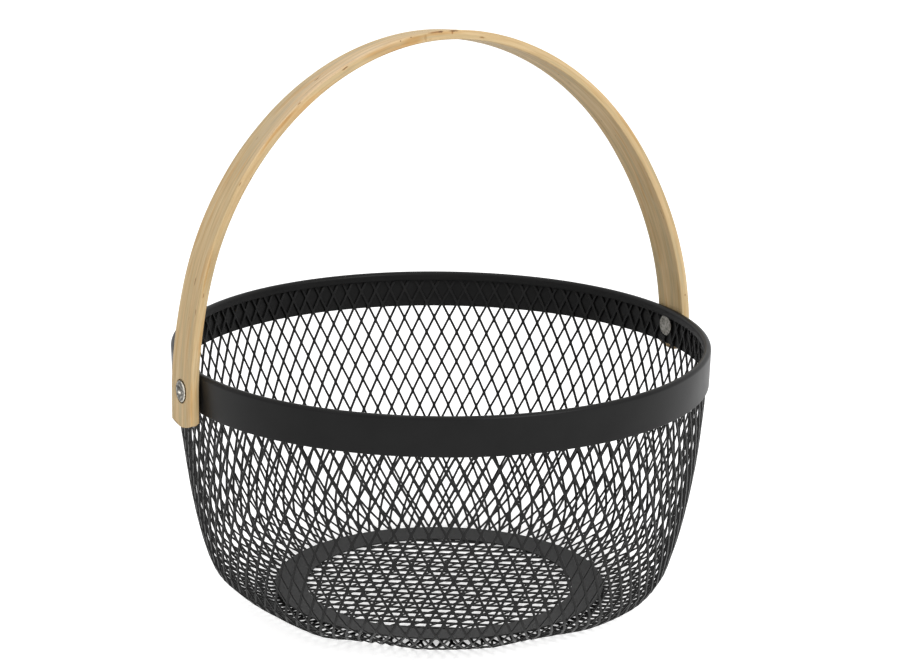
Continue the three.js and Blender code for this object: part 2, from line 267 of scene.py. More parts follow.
# The round bottom corner was pressed unevenly: how far it stands out, in mm, at angles round the bowl.
CORNER_ANGLES = [-180, -165, -151, -137, -124, -101, -89, -72, -57, -30, 0, 30, 60, 90, 120, 150]
CORNER_STANDS = [-1.2, -0.6, 0.9, -2.2, 0, 0, -1.8, 0.8, 1.6, 1, -0.5, 0.6, -0.6, 0.6, -0.6, 0.3]
CORNER_START = 0.002  # the unevenness starts this far in from the foot's outer edge
CORNER_RISE = 0.010
CORNER_HOLD = 0.020
CORNER_END = 0.036
foot_edge = FOOT_OUTER - PAST_FOOT  # along the profile


def pressed(turn):
    """How much the hoop's radius has changed at an angle round it."""
    return -PRESSED_IN * np.maximum(np.cos(turn - PRESS_AZIMUTH), 0) ** PRESS_SHARPNESS


def rested(turn, height):
    """How deep the handle's hollow is, at an angle round the bowl and at a height."""
    round_share = (1 - np.cos(turn - REST_AZIMUTH)) / (1 - math.cos(REST_SPREAD))
    return REST_HOLLOW * np.exp(-round_share - ((height - REST_HEIGHT) / REST_REACH) ** 2)


def corner_stands(turn, s, height, normal_up):
    """How far the sheet stands out from its profile round the bottom corner, never through the floor."""
    past = s - foot_edge + CORNER_START
    share = np.interp(past, [0, CORNER_RISE, CORNER_HOLD, CORNER_END], [0, 1, 1, 0])
    share = share * share * (3 - 2 * share)
    stands = 0.001 * np.interp(np.degrees(turn), CORNER_ANGLES, CORNER_STANDS, period=360) * share
    room = np.maximum(height, 0) / np.maximum(-normal_up, 0.1)
    return np.minimum(stands, room)


def ripple(size, waves, a, b):
    """Two waves that cross on a sheet with the coordinates a and b."""
    first, second = (np.sin(pace_a * a + pace_b * b + start) for pace_a, pace_b, start in waves)
    return size * first * second


strand_length = math.hypot(math.pi * SLIT_RADIUS / BOWL_COLUMNS, SLIT_HALF_LENGTH)


def wall_half_width(s):
    return math.pi * wall_line.at(s)[0] / BOWL_COLUMNS


def row_step(s):
    """Strands keep their length, so the rows draw apart where the bowl narrows."""
    return math.sqrt(strand_length**2 - wall_half_width(s) ** 2)


wall_rows = [float(np.interp(JOINT_HEIGHT, wall_line.points[:, 1], wall_line.distance))]
while wall_rows[0] - row_step(wall_rows[0]) > 0:
    wall_rows.insert(0, wall_rows[0] - row_step(wall_rows[0]))
rows_below = len(wall_rows) - 1
while wall_rows[-1] + row_step(wall_rows[-1]) < wall_line.length:
    wall_rows.append(wall_rows[-1] + row_step(wall_rows[-1]))
row_numbers = np.arange(len(wall_rows)) - rows_below


def wall_points(u, v, out):
    """Points of the wall from their columns and rows, with all that drawing and use have done to it."""
    s = np.interp(v, row_numbers, wall_rows)
    turn = JOINT_AZIMUTH + u * math.pi / BOWL_COLUMNS
    s = s + ripple(ROW_RIPPLE, ROW_WAVES, turn, s)
    turn = turn + ripple(COLUMN_RIPPLE, COLUMN_WAVES, turn, s)
    creep = 0.001 * np.interp(np.degrees(turn), COLUMN_ANGLES, COLUMN_CREEP, period=360)
    s = s - ROW_DROP * (1 + np.cos(turn - DROP_AZIMUTH)) / 2
    radius, height = wall_line.at(s)
    turn = turn + creep / SLIT_RADIUS * np.interp(height, [CREEP_LOW, CREEP_HIGH], [0, 1])
    normal_out, normal_up = wall_line.outward(s)
    out = out - SHEET / 2 + corner_stands(turn, s, height, normal_up)
    radius = radius + normal_out * out
    height = height + normal_up * out
    at_rim = np.clip(height / WALL_TOP[1], 0, 1) ** 2
    at_bowl = np.clip((WALL_TOP[1] - height) / SHIFT_FADE, 0, 1)
    radius = radius + at_rim * pressed(turn) + at_bowl * BOWL_SHIFT * np.cos(turn - SHIFT_AZIMUTH)
    radius = radius - rested(turn, height)
    return np.stack([radius * np.cos(turn), radius * np.sin(turn), height], axis=1)


wall = diamond_sheet(
    "wall_strands",
    [(i, int(j)) for j in row_numbers for i in range(2 * BOWL_COLUMNS) if (i + j) % 2 == 1],
    wall_points,
    lambda j: wall_half_width(wall_rows[j + rows_below]),
    lambda j: row_step(wall_rows[j + rows_below]),
    WALL_STRAND,
    around=2 * BOWL_COLUMNS,
)
rivet_low, rivet_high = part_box("rivet_right")
pivot_height = (rivet_low.z + rivet_high.z) / 2
wide = 2 * WALL_TOP[0]
cut(
    wall,
    [
        (wide, (0, 0, SHEET_TOP), (0, 0, 2 * PAST_TOP)),
        (FOOT_INNER, (0, 0, -PAST_FOOT), (0, 0, SHOULDER[1])),
        (HEAD_HOLE, (rivet_low.x - SHEET, 0, pivot_height), (wide, 0, pivot_height)),
        (HEAD_HOLE, (SHEET - rivet_low.x, 0, pivot_height), (-wide, 0, pivot_height)),
    ],
)
softened(wall)


def black_coat(name, shade, gloss, roughness, grain_size):
    """Satin powder coat: near black, with the fine pebbled skin that the powder bakes to."""
    material = bpy.data.materials.new(name)
    material.use_nodes = True
    nodes, links = material.node_tree.nodes, material.node_tree.links
    shader = nodes["Principled BSDF"]
    shader.inputs["Specular IOR Level"].default_value = gloss
    where = nodes.new("ShaderNodeTexCoord")
    tint = nodes.new("ShaderNodeTexNoise")
    tint.inputs["Scale"].default_value = 60
    tint.inputs["Detail"].default_value = 3
    shades = nodes.new("ShaderNodeValToRGB")
    shades.color_ramp.elements[0].position = 0.35
    shades.color_ramp.elements[1].position = 0.7
    shades.color_ramp.elements[0].color = (0.8 * shade, 0.8 * shade, 0.8 * shade, 1)
    shades.color_ramp.elements[1].color = (1.2 * shade, 1.2 * shade, 1.2 * shade, 1)
    pebble = nodes.new("ShaderNodeTexNoise")
    pebble.inputs["Scale"].default_value = 1 / grain_size
    pebble.inputs["Detail"].default_value = 2
    bump = nodes.new("ShaderNodeBump")
    bump.inputs["Strength"].default_value = 0.25
    bump.inputs["Distance"].default_value = 0.00005
    rough = nodes.new("ShaderNodeMapRange")
    rough.inputs["To Min"].default_value = roughness - 0.06
    rough.inputs["To Max"].default_value = roughness + 0.08
    links.new(where.outputs["Object"], tint.inputs["Vector"])
    links.new(where.outputs["Object"], pebble.inputs["Vector"])
    links.new(tint.outputs["Fac"], shades.inputs["Fac"])
    links.new(shades.outputs["Color"], shader.inputs["Base Color"])
    links.new(tint.outputs["Fac"], rough.inputs["Value"])
    links.new(rough.outputs["Result"], shader.inputs["Roughness"])
    links.new(pebble.outputs["Fac"], bump.inputs["Height"])
    links.new(bump.outputs["Normal"], shader.inputs["Normal"])
    return material


strand_coat = black_coat("strand coat", shade=0.010, gloss=0.18, roughness=0.42, grain_size=0.0004)
wall.data.materials.append(strand_coat)
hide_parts("wall_mesh")
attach(wall, "root")

# Base disc
# A round of the same expanded steel, almost flat, with its diamonds lying nearly along the rivets' line.
# It lies on the wall's foot and is held down round its edge by the ring. Black powder coat.
DISC_HALF_LENGTH = 0.0064
DISC_HALF_WIDTH = 0.0030
DISC_TURN = math.radians(-7.5)
DISC_LEFT = 0.0031  # how far left of the disc's middle its middle joint lies
DISC_STRAND = 0.001
DISC_SIDES = 240  # the disc is trimmed round with a cutter of this many sides
DISC_WAVE, WAVE_ALONG, WAVE_ACROSS = 0.00008, 50, 30  # how far out of flat, and how fast that changes
# The diamonds waver a little, along their length and across it.
DISC_RIPPLE, ALONG_WAVES, ACROSS_WAVES = 0.00015, ((0, 90, 1), (60, 0, 0)), ((110, 0, 0), (0, 70, 2))
RING_OUTER = 0.0666
RING_INNER = 0.0538
RING_SHEET = 0.0006
RING_SUNK = 0.00025  # below the CAD's ring, which stands off its neighbours
# The base lies a little off the middle and a little higher in front, and it sags inside the ring.
BASE_SHIFT = (0.0005, -0.0003)
BASE_TILT = math.radians(0.6)
TILT_AZIMUTH = math.radians(-118)
BASE_SAG = 0.00095
disc_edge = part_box("base_mesh")[1].x
ring_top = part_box("base_ring")[1].z - RING_SUNK
disc_middle = ring_top - RING_SHEET - SHEET / 2


def settled(x, y, z):
    """The base's points as they lie, from where they would be in a flat base."""
    inside = np.clip((RING_OUTER - np.hypot(x, y)) / (RING_OUTER - RING_INNER), 0, 1)
    lift = math.tan(BASE_TILT) * (x * math.cos(TILT_AZIMUTH) + y * math.sin(TILT_AZIMUTH))
    return np.stack([x + BASE_SHIFT[0], y + BASE_SHIFT[1], z + lift - BASE_SAG * inside], axis=-1)


def disc_points(u, v, out):
    x = v * DISC_HALF_LENGTH - DISC_LEFT
    y = -u * DISC_HALF_WIDTH
    x = x + ripple(DISC_RIPPLE, ALONG_WAVES, x, y)
    y = y + ripple(DISC_RIPPLE, ACROSS_WAVES, x, y)
    height = disc_middle + out + DISC_WAVE * np.sin(WAVE_ALONG * x + WAVE_ACROSS * y)
    cosine, sine = math.cos(DISC_TURN), math.sin(DISC_TURN)
    return settled(x * cosine - y * sine, x * sine + y * cosine, height)


laid_out = disc_edge + 3 * DISC_HALF_LENGTH
reach = int(laid_out / DISC_HALF_WIDTH)
disc = diamond_sheet(
    "base_strands",
    [
        (i, j)
        for i in range(-reach, reach + 1)
        for j in range(-reach, reach + 1)
        if (i + j) % 2 == 1 and math.hypot(i * DISC_HALF_WIDTH, j * DISC_HALF_LENGTH) < laid_out
    ],
    disc_points,
    lambda j: DISC_HALF_WIDTH,
    lambda j: DISC_HALF_LENGTH,
    DISC_STRAND,
)
cut(disc, [(disc_edge, (0, 0, -SHEET), (0, 0, 5 * SHEET))], operation="INTERSECT", sides=DISC_SIDES)
softened(disc)
disc.data.materials.append(strand_coat)
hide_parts("base_mesh")
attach(disc, "root")

# Base ring
# A flat ring stamped from sheet, its edges eased by the coat. It presses the disc on the wall's foot.
RING_STEPS = 240
RING_EDGE = 0.00015  # radius that the coat gives each edge
RING_WAVE = 0.00012  # how far the stamping is out of flat


def turned(name, outline, steps, wave, place):
    """A closed (radius, height) outline turned round the Z axis, its height waving a little round it.
    place(x, y, z) then puts its points where they lie."""
    faces = []
    count = len(outline)
    radius, height = np.array(outline).T
    turn = 2 * math.pi * np.arange(steps)[:, None] / steps
    lift = [wave * noise.noise(Vector((2 * math.cos(t), 2 * math.sin(t), 5.0))) for t in turn[:, 0]]
    points = place(radius * np.cos(turn), radius * np.sin(turn), height + np.array(lift)[:, None])
    for k in range(steps):
        ahead = (k + 1) % steps
        for m in range(count):
            n = (m + 1) % count
            faces.append([k * count + m, ahead * count + m, ahead * count + n, k * count + n])
    return mesh_object(name, points.reshape(-1, 3), faces)


def eased(corners, radius, steps=4):
    """An outline of (radius, height) corners, each rounded by a small arc."""
    outline = []
    for k, corner in enumerate(corners):
        here = Vector(corner)
        to_last = (Vector(corners[k - 1]) - here).normalized() * radius
        to_next = (Vector(corners[(k + 1) % len(corners)]) - here).normalized() * radius
        centre = here + to_last + to_next
        for m in range(steps + 1):
            angle = 0.5 * math.pi * m / steps
            outline.append(tuple(centre - to_next * math.cos(angle) - to_last * math.sin(angle)))
    return outline


ring = turned(
    "base_ring_plate",
    eased(
        [
            (RING_INNER, ring_top - RING_SHEET),
            (RING_OUTER, ring_top - RING_SHEET),
            (RING_OUTER, ring_top),
            (RING_INNER, ring_top),
        ],
        RING_EDGE,
    ),
    RING_STEPS,
    RING_WAVE,
    settled,
)
softened(ring)
# The ring's shade is over twice the band's: painted light, for the light that falls on its upward face.
ring_coat_painted_lighter = black_coat("ring coat painted lighter", shade=0.018, gloss=0.17, roughness=0.46, grain_size=0.0005)
ring.data.materials.append(ring_coat_painted_lighter)
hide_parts("base_ring")
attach(ring, "root")

# Rim band
# A strip of sheet bent to a hoop. Its top edge is rolled inward and down, so that it clamps the top of
# the mesh and leaves a smooth round edge to hold. Black powder coat.
BAND_STEPS = 360
BAND_SHEET = 0.0007
BAND_TAPER = 0.0004  # the band's foot is this much further in than its top
BAND_WAVE = 0.0001  # how far the hoop is out of flat
HEM_WIDTH = 0.003
HEM_LEG = 0.0021  # from the middle of the roll down to the edge inside
HEM_STEPS, CUT_EDGE_STEPS = 12, 6
band_low, band_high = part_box("rim_band")
rim = band_high.x
hem_radius = HEM_WIDTH / 2
hem_centre = Vector((rim - hem_radius, band_high.z - hem_radius))


def arc(centre, radius, start, stop, steps):
    """(radius, height) points on an arc, with its angles in degrees."""
    angles = [math.radians(start + (stop - start) * k / steps) for k in range(steps + 1)]
    return [(centre.x + radius * math.cos(a), centre.y + radius * math.sin(a)) for a in angles]


leg_bottom = hem_centre.y - HEM_LEG
half_sheet = BAND_SHEET / 2
foot_centre = Vector((rim - BAND_TAPER - half_sheet, band_low.z + half_sheet))
leg_centre = Vector((rim - HEM_WIDTH + half_sheet, leg_bottom + half_sheet))
band_outline = [
    *arc(foot_centre, half_sheet, 180, 360, CUT_EDGE_STEPS),
    *arc(hem_centre, hem_radius, 0, 180, HEM_STEPS),
    *arc(leg_centre, half_sheet, 180, 360, CUT_EDGE_STEPS),
    *arc(hem_centre, hem_radius - BAND_SHEET, 180, 0, HEM_STEPS),
]


def pressed_hoop(x, y, z):
    """The band's points, from where they would be in a round one."""
    turn = np.arctan2(y, x)
    change = pressed(turn)
    x, y, z = np.broadcast_arrays(x + change * np.cos(turn), y + change * np.sin(turn), z)
    return np.stack([x, y, z], axis=-1)


band = turned("rim_band_hoop", band_outline, BAND_STEPS, BAND_WAVE, pressed_hoop)
softened(band)
band_coat = black_coat("band coat", shade=0.008, gloss=0.135, roughness=0.38, grain_size=0.0005)
band.data.materials.append(band_coat)
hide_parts("rim_band")
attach(band, "root")

# Rivets
# One on each side of the rim, of bright soft steel. The flat head is inside the band. The outer end is
# set in the wood's recess, rolled to a lip, and dished by the setting punch in a six-rayed star.
RIVET_STEPS = 72
SHANK = 0.002
HEAD = 0.0042
HEAD_EDGE = 0.00025
LIP = 0.00028
LIP_END = 150  # degrees that the lip is rolled over, past which the dish falls away
FLAT_RINGS, DISH_RINGS = 8, 12  # of the mesh, in the flat head and in the dish
WELD_WITHIN = 0.000002  # the rings' middle points are joined to one
DISH_RAYS = 6
RAY_SHARPNESS = 6
DISH_RIDGE = 0.00025
DISH_DEPTH = 0.0012
PIT_DEPTH, PIT_PACE = 0.00005, 900  # the flat head's skin: how deep, and how many pits to the metre
INNER_HEAD_THICKNESS = 0.0009
OUTER_HEAD_THICKNESS = 0.001
LEFT_SEAT_SHIFT = 0.0005  # the left rivet has gone in with the side that is pressed in
inner_face = rivet_low.x + INNER_HEAD_THICKNESS
outer_seat = rivet_high.x - OUTER_HEAD_THICKNESS
# How brightly the steel shows, from 0 to 1. Some of it is rubbing: a little round the lip and on the flat
# head. The rest is painted light: painted shade over the dish, darkest in its upper half, which faces
# down, painted light on its lower half, which faces up, painted shine along the rays, a painted highlight
# on the front of the lip, which faces the lamps, and brightest of all one painted glint in the dish.
DISH_PAINTED_SHADE = 0.0
LOWER_DISH_PAINTED_LIGHT = 0.18
RAY_PAINTED_SHINE = 0.45
LIP_RUBBED = 0.18
LIP_FRONT_PAINTED_HIGHLIGHT = 0.65
FLAT_RUBBED = 0.2
PAINTED_GLINT = (0.0021, -0.0011)  # back and up from the rivet's middle
PAINTED_GLINT_RADIUS = 0.0011
DULL_AND_SHADED_STEEL = (0.11, 0.106, 0.097)
RUBBED_AND_LIT_STEEL = (0.78, 0.75, 0.67)


def rivet_outline():
    """(radius, place along the axis) points from the middle of the flat head to the middle of the dish."""
    flat = [(HEAD * k / FLAT_RINGS, rivet_low.x) for k in range(FLAT_RINGS)]
    rim_inside = arc(Vector((HEAD - HEAD_EDGE, rivet_low.x + HEAD_EDGE)), HEAD_EDGE, -90, 0, steps=4)
    under = [(HEAD, inner_face), (SHANK, inner_face), (SHANK, outer_seat), (HEAD - HEAD_EDGE, outer_seat)]
    lip = arc(Vector((HEAD - LIP, rivet_high.x - LIP)), LIP, 0, LIP_END, steps=8)
    brim, brim_height = lip[-1]
    dish = []
    for k in range(1, DISH_RINGS + 1):
        share = 1 - k / DISH_RINGS
        fall = (rivet_high.x - brim_height) * share**2 + DISH_DEPTH * (1 - share**2)
        dish.append((brim * share, rivet_high.x - fall))
    return flat, rim_inside, under, lip, dish


def rivet(name, side):
    """One whole rivet. side is 1 for the right one and -1 for the left one."""
    flat, rim_inside, under, lip, dish = rivet_outline()
    rows = [*flat, *rim_inside, *under, *lip, *dish]
    first_dish = len(rows) - len(dish)
    brim = lip[-1][0]
    seat = LEFT_SEAT_SHIFT if side < 0 else 0
    points = []
    rubbed_and_painted_light = []
    for k in range(RIVET_STEPS):
        turn = 2 * math.pi * k / RIVET_STEPS
        for m, (radius, along) in enumerate(rows):
            y, z = side * radius * math.cos(turn), radius * math.sin(turn)
            bright = FLAT_RUBBED
            if m >= first_dish:
                # Six rays pressed by the punch stand up from the dish, and fade out at its lip.
                share = radius / brim
                ray = abs(math.cos(DISH_RAYS / 2 * turn + side)) ** RAY_SHARPNESS
                along += DISH_RIDGE * ray * math.sin(math.pi * share)
                # Painted light in the dish: painted shade over all of it, painted light on its lower half,
                # which faces up, painted shine along the rays, and one painted glint.
                bright = DISH_PAINTED_SHADE + RAY_PAINTED_SHINE * ray * (1 - share) + LOWER_DISH_PAINTED_LIGHT * max(-z / HEAD, 0)
                bright = max(bright, 1 - math.hypot(y - PAINTED_GLINT[0], z - PAINTED_GLINT[1]) / PAINTED_GLINT_RADIUS)
            elif m >= first_dish - len(lip):
                # The lip is a little rubbed all round, and its front, which faces the lamps, has a painted
                # highlight.
                bright = LIP_RUBBED + LIP_FRONT_PAINTED_HIGHLIGHT * max(-y / HEAD, 0)
            if m < len(flat):
                along -= PIT_DEPTH * noise.noise(Vector((y * PIT_PACE, z * PIT_PACE, side * 5.0)))
            points.append((side * along + seat, y, z + pivot_height))
            rubbed_and_painted_light.append(bright)
    faces = []
    count = len(rows)
    for k in range(RIVET_STEPS):
        ahead = (k + 1) % RIVET_STEPS
        for m in range(count - 1):
            faces.append([k * count + m, k * count + m + 1, ahead * count + m + 1, ahead * count + m])
    piece = mesh_object(name, points, faces)
    piece.data.attributes.new("rubbed_and_painted_light", "FLOAT", "POINT").data.foreach_set("value", rubbed_and_painted_light)
    weld = piece.modifiers.new("closed ends", "WELD")
    weld.merge_threshold = WELD_WITHIN
    return piece


def bright_steel():
    """Soft rivet steel: dull and grey in the dish, where shade is painted, and bright where the punch and
    hands have rubbed it and where highlights and a glint are painted.
    """
    material = bpy.data.materials.new("rivet steel")
    material.use_nodes = True
    nodes, links = material.node_tree.nodes, material.node_tree.links
    shader = nodes["Principled BSDF"]
    shader.inputs["Metallic"].default_value = 1
    where = nodes.new("ShaderNodeTexCoord")
    wear_and_painted_light = nodes.new("ShaderNodeAttribute")
    wear_and_painted_light.attribute_name = "rubbed_and_painted_light"
    mottle = nodes.new("ShaderNodeTexNoise")
    mottle.inputs["Scale"].default_value = 900
    mottle.inputs["Detail"].default_value = 3
    shades = nodes.new("ShaderNodeValToRGB")
    shades.color_ramp.elements[0].color = (*DULL_AND_SHADED_STEEL, 1)
    shades.color_ramp.elements[1].color = (*RUBBED_AND_LIT_STEEL, 1)
    spots = nodes.new("ShaderNodeMapRange")
    spots.inputs["From Min"].default_value = 0.35
    spots.inputs["From Max"].default_value = 0.65
    spots.inputs["To Min"].default_value = 0.5
    spots.inputs["To Max"].default_value = 1.6
    marked = nodes.new("ShaderNodeVectorMath")
    marked.operation = "SCALE"
    rough = nodes.new("ShaderNodeMapRange")
    rough.inputs["To Min"].default_value = 0.5
    rough.inputs["To Max"].default_value = 0.28
    bump = nodes.new("ShaderNodeBump")
    bump.inputs["Strength"].default_value = 0.2
    bump.inputs["Distance"].default_value = 0.00005
    links.new(where.outputs["Object"], mottle.inputs["Vector"])
    links.new(wear_and_painted_light.outputs["Fac"], shades.inputs["Fac"])
    links.new(mottle.outputs["Fac"], spots.inputs["Value"])
    links.new(shades.outputs["Color"], marked.inputs[0])
    links.new(spots.outputs["Result"], marked.inputs["Scale"])
    links.new(marked.outputs["Vector"], shader.inputs["Base Color"])
    links.new(wear_and_painted_light.outputs["Fac"], rough.inputs["Value"])
    links.new(rough.outputs["Result"], shader.inputs["Roughness"])
    links.new(mottle.outputs["Fac"], bump.inputs["Height"])
    links.new(bump.outputs["Normal"], shader.inputs["Normal"])
    return material


steel = bright_steel()
for side_name, side in (("right", 1), ("left", -1)):
    shown = rivet("rivet_" + side_name + "_set", side)
    shown.data.materials.append(steel)
    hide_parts("rivet_" + side_name)
    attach(shown, "root")

# Handle
# One strip of pale close-grained wood, bent to an arch, with its edges eased and its ends cut to a
# shallow bow. A round recess near each end takes the rivet, and the whole strip swings on the two.
STRIP_WIDTH = 0.0172
STRIP_THICKNESS = 0.0036
STRIP_GAP = 0.0005  # between the strip and the band
STRIP_INNER = rim + STRIP_GAP
ARCH_RISE = 0.1282  # from the rivets to the middle of the strip at the top
ARCH_POWER = 1.97  # 2 would be an ellipse
RIGHT_TAIL = 0.0101  # the strip's length past the rivet
LEFT_TAIL = 0.0141
TAIL_BOW = 0.002
TAIL_POWER = 1.7  # between a point, 1, and an arc, 2
TAIL_BOW_REACH = 0.009
TAIL_CORNER = 0.0013  # and this much more is sanded off the left end's inner front corner
TAIL_CORNER_SHARPNESS = 4
EDGE_ROUND = 0.0005
EDGE_STEPS, FACE_STEPS = 4, 10
UNEVEN = 0.00008  # what sanding has left, changing this fast along the strip, across it and through it
UNEVEN_PACE = (60, 200, 300)
LEAN = math.radians(2.8)
APEX_ROLL = math.radians(4.7)  # the strip has kept a little twist from its bending
LEG_TURN = math.radians(2.5)  # and each leg a little turn toward the other one's front
ARCH_STEPS = 220
TAIL_STEPS = 24
HOLE = 0.0023  # radius
RECESS = 0.00475  # radius
RECESS_DEPTH = 0.001
# The left leg is squeezed in a little just over the rim, and the right one is drawn in half way up.
LEFT_SQUEEZE, LEFT_SQUEEZE_UP = 0.0011, 0.025
RIGHT_DRAW, RIGHT_DRAW_UP = 0.0007, 0.065
SQUEEZE_SPREAD = 0.028
# Single marks in the wood: along the strip from its right end, back, out, half of each size, all in mm,
# and the tint that the wood takes there. Two are painted light rather than marks in the wood: a painted
# sheen over the outer face at the top of the arch, and painted light on the left end's front face beside
# the band, where it lies in shade.
DARK, BROWN, WARM, FAINT = (0.36, 0.26, 0.20), (0.60, 0.44, 0.32), (0.88, 0.74, 0.56), (0.80, 0.72, 0.62)
SOFT, PAINTED_LIGHT_BY_BAND, PAINTED_SHEEN = (0.90, 0.83, 0.76), (1.18, 1.15, 1.10), (1.12, 1.14, 1.32)
MARKS = [
    (200.6, -8.5, 2.3, 3.6, 0.6, 0.55, BROWN),
    (198.3, -8.5, 2.2, 1.4, 0.5, 0.5, DARK),
    (192.8, -8.5, 2.2, 2.6, 0.6, 0.45, DARK),
    (193.4, -8.6, 1.5, 0.5, 0.5, 0.8, BROWN),
    (204.9, -8.6, 0.6, 0.8, 0.6, 1.7, FAINT),
    (210.5, -8.6, 0.6, 6.0, 0.8, 2.0, WARM),
    (215.5, -8.5, 1.9, 0.45, 0.4, 0.35, DARK),
    (210.9, -8.5, 2.1, 0.45, 0.4, 0.35, DARK),
    (180.3, -8.6, 0.2, 1.5, 0.5, 0.4, BROWN),
    (276.5, -8.6, 1.5, 14.0, 1.0, 0.6, WARM),
    (336.0, -8.6, 0.9, 11.0, 0.9, 0.5, WARM),
    (137.4, -1.5, -1.7, 0.5, 0.35, 0.5, DARK),
    (106.4, 2.3, -2.0, 0.5, 0.35, 0.5, DARK),
    (98.4, -0.4, -1.8, 0.6, 0.3, 0.5, BROWN),
    (24.1, -8.6, 0.6, 0.6, 0.4, 0.4, BROWN),
    (222.0, -8.6, 0.4, 11.0, 0.8, 2.0, SOFT),
    # Painted sheen on the arch's outer face at the top, where the top lamp shines.
    (250.0, 0.0, 3.3, 65.0, 40.0, 2.1, PAINTED_SHEEN),
    # Painted light on the left end's front face beside the band, against the shade there.
    (389.0, -8.8, 0.0, 14.0, 1.5, 3.0, PAINTED_LIGHT_BY_BAND),
]
MARK_RAGGED = 1800  # their outlines follow a noise this fine
MARK_SHIFT = 0.0004  # that moves them by up to half of this
MARK_CORE = 0.45  # inside this share of its size a mark has its full tint
CLEAR = (1.0, 1.0, 1.0)
# The grain: how fast each of its noises changes along the strip, back and out, and the shades that the
# wood takes from where the noise is low to where it is high.
BAND_PACE, FIBRE_PACE = (20, 360, 480), (60, 1000, 1300)
STREAK_PACE, FLECK_PACE, PORE_PACE = (45, 520, 800), (170, 900, 900), (90, 3000, 3000)
BAND_SHADES = [
    (0.36, (0.56, 0.43, 0.245)),
    (0.46, (0.62, 0.46, 0.245)),
    (0.54, (0.65, 0.46, 0.24)),
    (0.64, (0.70, 0.53, 0.30)),
]
FIBRE_SHADES = [(0.40, (0.86, 0.85, 0.82)), (0.57, CLEAR)]
STREAK_SHADES = [(0.56, CLEAR), (0.70, (0.94, 0.82, 0.66))]
FLECK_SHADES = [(0.74, CLEAR), (0.80, (0.45, 0.31, 0.20))]
half_span = STRIP_INNER + STRIP_THICKNESS / 2


def strip_line():
    """The middle of the strip from the right end to the left, as (across, up) from the pivot axis, with
    its direction and its length so far at each point."""
    turn = np.linspace(0, math.pi, ARCH_STEPS + 1)
    reach_across = (np.abs(np.cos(turn)) / half_span) ** ARCH_POWER
    reach_up = (np.abs(np.sin(turn)) / ARCH_RISE) ** ARCH_POWER
    reach = (reach_across + reach_up) ** (-1 / ARCH_POWER)
    right = np.linspace(-RIGHT_TAIL, 0, TAIL_STEPS, endpoint=False)
    left = np.linspace(-LEFT_TAIL, 0, TAIL_STEPS, endpoint=False)[::-1]
    side = np.full(TAIL_STEPS, half_span)
    across = np.concatenate([side, reach * np.cos(turn), -side])
    up = np.concatenate([right, reach * np.sin(turn), left])
    squeezed = LEFT_SQUEEZE * np.exp(-(((up - LEFT_SQUEEZE_UP) / SQUEEZE_SPREAD) ** 2))
    drawn = RIGHT_DRAW * np.exp(-(((up - RIGHT_DRAW_UP) / SQUEEZE_SPREAD) ** 2))
    across = np.where(across < 0, across + squeezed, across - drawn)
    along = np.stack([np.gradient(across), np.gradient(up)], axis=1)
    along /= np.linalg.norm(along, axis=1)[:, None]
    length = np.concatenate([[0], np.cumsum(np.hypot(np.diff(across), np.diff(up)))])
    return np.stack([across, up], axis=1), along, length


def strip_section():
    """The strip's cut across its length, as (out, back) points round it, with eased edges."""
    half_out, half_back = STRIP_THICKNESS / 2, STRIP_WIDTH / 2
    section = []
    for so, sb, first in ((1, -1, 0), (1, 1, 1), (-1, 1, 2), (-1, -1, 3)):
        for k in range(EDGE_STEPS + 1):
            angle = -math.pi / 2 + (first + k / EDGE_STEPS) * math.pi / 2
            out = so * (half_out - EDGE_ROUND) + EDGE_ROUND * math.cos(angle)
            back = sb * (half_back - EDGE_ROUND) + EDGE_ROUND * math.sin(angle)
            section.append((out, back))
        if first % 2 == 0:
            for k in range(1, FACE_STEPS):
                back = so * half_back * (2 * k / FACE_STEPS - 1) * (1 - EDGE_ROUND / half_back)
                section.append((so * half_out, back))
    return section


def handle_strip():
    """The strip's section carried along its line, with its twist, its bowed ends and its lean."""
    middle, along, length = strip_line()
    outward = np.stack([along[:, 1], -along[:, 0]], axis=1)
    section = strip_section()
    points = []
    count = len(section)
    pace_along, pace_across, pace_through = UNEVEN_PACE
    lean = Matrix.Rotation(-LEAN, 3, "X")
    for k, (across, up) in enumerate(middle):
        share = max(up, 0) / ARCH_RISE
        roll = APEX_ROLL * share + LEG_TURN * (1 - share) * math.copysign(1, across)
        to_end = min(length[k], length[-1] - length[k])
        toward = 1 if k < len(middle) / 2 else -1
        for out, back in section:
            # The ends are bowed: away from the middle of the strip they stop short.
            bow = TAIL_BOW * abs(back * 2 / STRIP_WIDTH) ** TAIL_POWER
            if across < 0:
                inner, front = max(-out * 2 / STRIP_THICKNESS, 0), max(-back * 2 / STRIP_WIDTH, 0)
                bow += TAIL_CORNER * (inner * front**TAIL_CORNER_SHARPNESS)
            slide = bow * max(0, 1 - to_end / TAIL_BOW_REACH)
            place = Vector((length[k] * pace_along, back * pace_across, out * pace_through))
            uneven = UNEVEN * noise.noise(place)
            o = (out + math.copysign(uneven, out)) * math.cos(roll) - back * math.sin(roll)
            b = out * math.sin(roll) + back * math.cos(roll)
            x = across + outward[k][0] * o + along[k][0] * slide * toward
            z = up + outward[k][1] * o + along[k][1] * slide * toward
            points.append(lean @ Vector((x, b, z)) + Vector((0, 0, pivot_height)))
    faces = []
    for k in range(len(middle) - 1):
        for m in range(count):
            n = (m + 1) % count
            faces.append([k * count + m, k * count + n, (k + 1) * count + n, (k + 1) * count + m])
    faces.append(list(range(count))[::-1])
    last = (len(middle) - 1) * count
    faces.append([last + m for m in range(count)])
    return mesh_object("handle_strip", points, faces)


